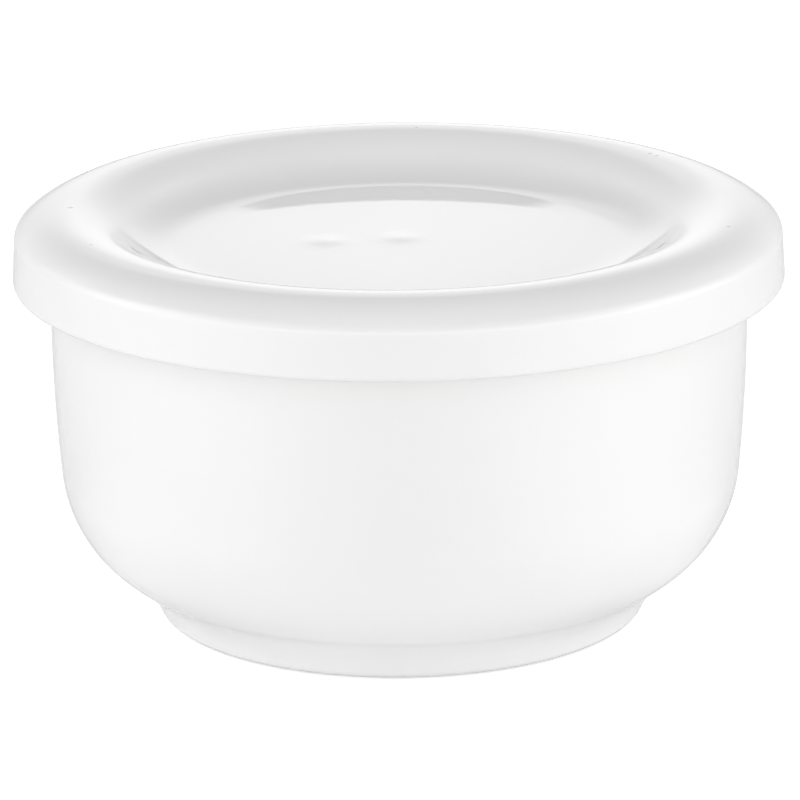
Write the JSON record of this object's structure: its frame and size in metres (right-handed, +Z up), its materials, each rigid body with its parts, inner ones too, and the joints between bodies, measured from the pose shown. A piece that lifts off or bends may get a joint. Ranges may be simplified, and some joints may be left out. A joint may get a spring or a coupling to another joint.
{
  "type": "lidded bowl",
  "caption": "Round white glazed porcelain bowl on a foot ring, closed by a cap lid whose skirt goes round the rim and whose dished top takes the foot of another bowl.",
  "frame": {"origin": "middle of the foot ring, on the surface that the bowl stands on", "axes": "+Z up along the axis of revolution of the bowl and the lid; +X to the right and +Y away from the viewer in the picture"},
  "size_m": [0.1268, 0.1268, 0.0685],
  "materials": {
    "bowl_porcelain": "gloss white glaze, bare ground foot land and rim",
    "lid_porcelain": "gloss white glaze, bare ground skirt edge"
  },
  "bodies": {
    "bowl": {"bowl": "bowl_porcelain"},
    "lid": {"lid": "lid_porcelain"}
  },
  "joints": [
    {"name": "lid_lift", "type": "slide", "parent": "bowl", "child": "lid", "axis": [0, 0, 1], "range_m": [0, 0.06]}
  ]
}
